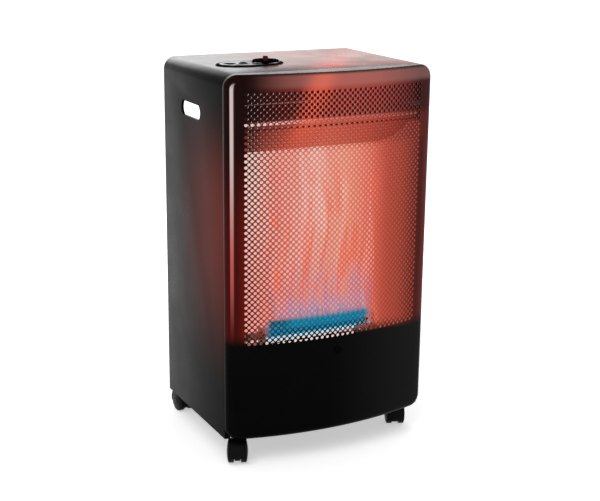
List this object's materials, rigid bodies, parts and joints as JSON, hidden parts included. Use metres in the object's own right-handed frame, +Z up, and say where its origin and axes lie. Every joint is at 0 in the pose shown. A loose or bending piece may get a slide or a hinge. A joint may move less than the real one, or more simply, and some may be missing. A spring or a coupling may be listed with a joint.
{
  "type": "portable gas cabinet heater",
  "caption": "Upright cabinet gas heater on casters, with a bowed perforated front over a flame burner, controls on top and a bottle bay behind.",
  "frame": {"origin": "on the floor under the middle of the bounding box", "axes": "+Z up, -Y the bowed front, +X the viewer's right when facing the front"},
  "size_m": [0.424, 0.383, 0.7513],
  "materials": {
    "black_enamel": "semi-gloss powder coat",
    "bright_reflector": "bright rolled sheet",
    "inner_steel": "aluminised sheet",
    "burner_steel": "heat-tinted stainless sheet",
    "gloss_black_plastic": "smooth moulded",
    "matt_black_plastic": "fine moulded grain",
    "knob_plastic": "smooth moulded",
    "zinc_plate": "bright zinc plate",
    "brass": "machined",
    "copper": "drawn copper tube",
    "cast_alloy": "as cast and machined",
    "ceramic": "white insulator",
    "silicone": "silicone sleeve"
  },
  "bodies": {
    "cabinet": {"cabinet_shell": "black_enamel", "front_panel": "black_enamel", "sight_port_plug": "gloss_black_plastic", "handle_liner_left": "matt_black_plastic", "handle_liner_right": "matt_black_plastic", "base_tray": "black_enamel", "rear_brace": "black_enamel", "reflector": "bright_reflector", "firebox_floor": "inner_steel", "hood_deflector": "inner_steel", "top_heat_shield": "inner_steel", "burner": "burner_steel", "burner_bracket_left": "inner_steel", "burner_bracket_right": "inner_steel", "venturi_tube": "inner_steel", "injector": "brass", "pilot_bracket": "inner_steel", "pilot_burner": "brass", "spark_electrode": "ceramic", "thermocouple": "copper", "burner_gas_pipe": "cast_alloy", "pilot_gas_pipe": "cast_alloy", "thermocouple_lead": "copper", "ignition_lead": "silicone", "gas_valve": "cast_alloy", "valve_bracket": "inner_steel", "hose_nozzle": "brass", "knob_return_spring": "zinc_plate", "piezo_igniter": "matt_black_plastic", "control_bezel": "gloss_black_plastic", "caster_stem_front_left": "zinc_plate", "caster_stem_front_right": "zinc_plate", "caster_stem_rear_left": "zinc_plate", "caster_stem_rear_right": "zinc_plate"},
    "rear_cover": {"rear_cover": "black_enamel"},
    "knob_push": {"knob_thrust_washer": "zinc_plate"},
    "knob": {"control_knob": "knob_plastic", "valve_spindle": "brass"},
    "igniter": {"igniter_button": "gloss_black_plastic"},
    "swivel_front_left": {"caster_housing_front_left": "matt_black_plastic", "caster_axle_front_left": "zinc_plate"},
    "wheel_front_left_a": {"caster_wheel_front_left_a": "gloss_black_plastic"},
    "wheel_front_left_b": {"caster_wheel_front_left_b": "gloss_black_plastic"},
    "swivel_front_right": {"caster_housing_front_right": "matt_black_plastic", "caster_axle_front_right": "zinc_plate"},
    "wheel_front_right_a": {"caster_wheel_front_right_a": "gloss_black_plastic"},
    "wheel_front_right_b": {"caster_wheel_front_right_b": "gloss_black_plastic"},
    "swivel_rear_left": {"caster_housing_rear_left": "matt_black_plastic", "caster_axle_rear_left": "zinc_plate"},
    "wheel_rear_left_a": {"caster_wheel_rear_left_a": "gloss_black_plastic"},
    "wheel_rear_left_b": {"caster_wheel_rear_left_b": "gloss_black_plastic"},
    "swivel_rear_right": {"caster_housing_rear_right": "matt_black_plastic", "caster_axle_rear_right": "zinc_plate"},
    "wheel_rear_right_a": {"caster_wheel_rear_right_a": "gloss_black_plastic"},
    "wheel_rear_right_b": {"caster_wheel_rear_right_b": "gloss_black_plastic"}
  },
  "joints": [
    {"name": "rear_cover_off", "type": "slide", "parent": "cabinet", "child": "rear_cover", "axis": [0, 1, 0], "range_m": [0, 0.25]},
    {"name": "knob_press", "type": "slide", "parent": "cabinet", "child": "knob_push", "axis": [0, 0, -1], "range_m": [0, 0.003], "stiffness_N_per_m": 800, "springref_m": -0.004, "deforming": ["knob_return_spring"]},
    {"name": "knob_turn", "type": "hinge", "parent": "knob_push", "child": "knob", "pos_m": [-0.0755, -0.027, 0.7438], "axis": [0, 0, -1], "range_deg": [0, 250]},
    {"name": "igniter_press", "type": "slide", "parent": "cabinet", "child": "igniter", "axis": [0, 0, -1], "range_m": [0, 0.005], "stiffness_N_per_m": 600, "springref_m": -0.005},
    {"name": "swivel_front_left", "type": "hinge", "parent": "cabinet", "child": "swivel_front_left", "pos_m": [-0.177, -0.1195, 0.05], "axis": [0, 0, 1], "continuous": true},
    {"name": "roll_front_left_a", "type": "hinge", "parent": "swivel_front_left", "child": "wheel_front_left_a", "pos_m": [-0.18351, -0.13412, 0.02173], "axis": [0.9135, -0.4067, 0], "continuous": true},
    {"name": "roll_front_left_b", "type": "hinge", "parent": "swivel_front_left", "child": "wheel_front_left_b", "pos_m": [-0.18351, -0.13412, 0.02173], "axis": [0.9135, -0.4067, 0], "continuous": true},
    {"name": "swivel_front_right", "type": "hinge", "parent": "cabinet", "child": "swivel_front_right", "pos_m": [0.177, -0.1195, 0.05], "axis": [0, 0, 1], "continuous": true},
    {"name": "roll_front_right_a", "type": "hinge", "parent": "swivel_front_right", "child": "wheel_front_right_a", "pos_m": [0.18351, -0.10488, 0.02173], "axis": [-0.9135, 0.4067, 0], "continuous": true},
    {"name": "roll_front_right_b", "type": "hinge", "parent": "swivel_front_right", "child": "wheel_front_right_b", "pos_m": [0.18351, -0.10488, 0.02173], "axis": [-0.9135, 0.4067, 0], "continuous": true},
    {"name": "swivel_rear_left", "type": "hinge", "parent": "cabinet", "child": "swivel_rear_left", "pos_m": [-0.177, 0.1325, 0.05], "axis": [0, 0, 1], "continuous": true},
    {"name": "roll_rear_left_a", "type": "hinge", "parent": "swivel_rear_left", "child": "wheel_rear_left_a", "pos_m": [-0.17812, 0.14846, 0.02173], "axis": [-0.9976, -0.0698, 0], "continuous": true},
    {"name": "roll_rear_left_b", "type": "hinge", "parent": "swivel_rear_left", "child": "wheel_rear_left_b", "pos_m": [-0.17812, 0.14846, 0.02173], "axis": [-0.9976, -0.0698, 0], "continuous": true},
    {"name": "swivel_rear_right", "type": "hinge", "parent": "cabinet", "child": "swivel_rear_right", "pos_m": [0.177, 0.1325, 0.05], "axis": [0, 0, 1], "continuous": true},
    {"name": "roll_rear_right_a", "type": "hinge", "parent": "swivel_rear_right", "child": "wheel_rear_right_a", "pos_m": [0.18194, 0.14772, 0.02173], "axis": [-0.9511, 0.309, 0], "continuous": true},
    {"name": "roll_rear_right_b", "type": "hinge", "parent": "swivel_rear_right", "child": "wheel_rear_right_b", "pos_m": [0.18194, 0.14772, 0.02173], "axis": [-0.9511, 0.309, 0], "continuous": true}
  ]
}
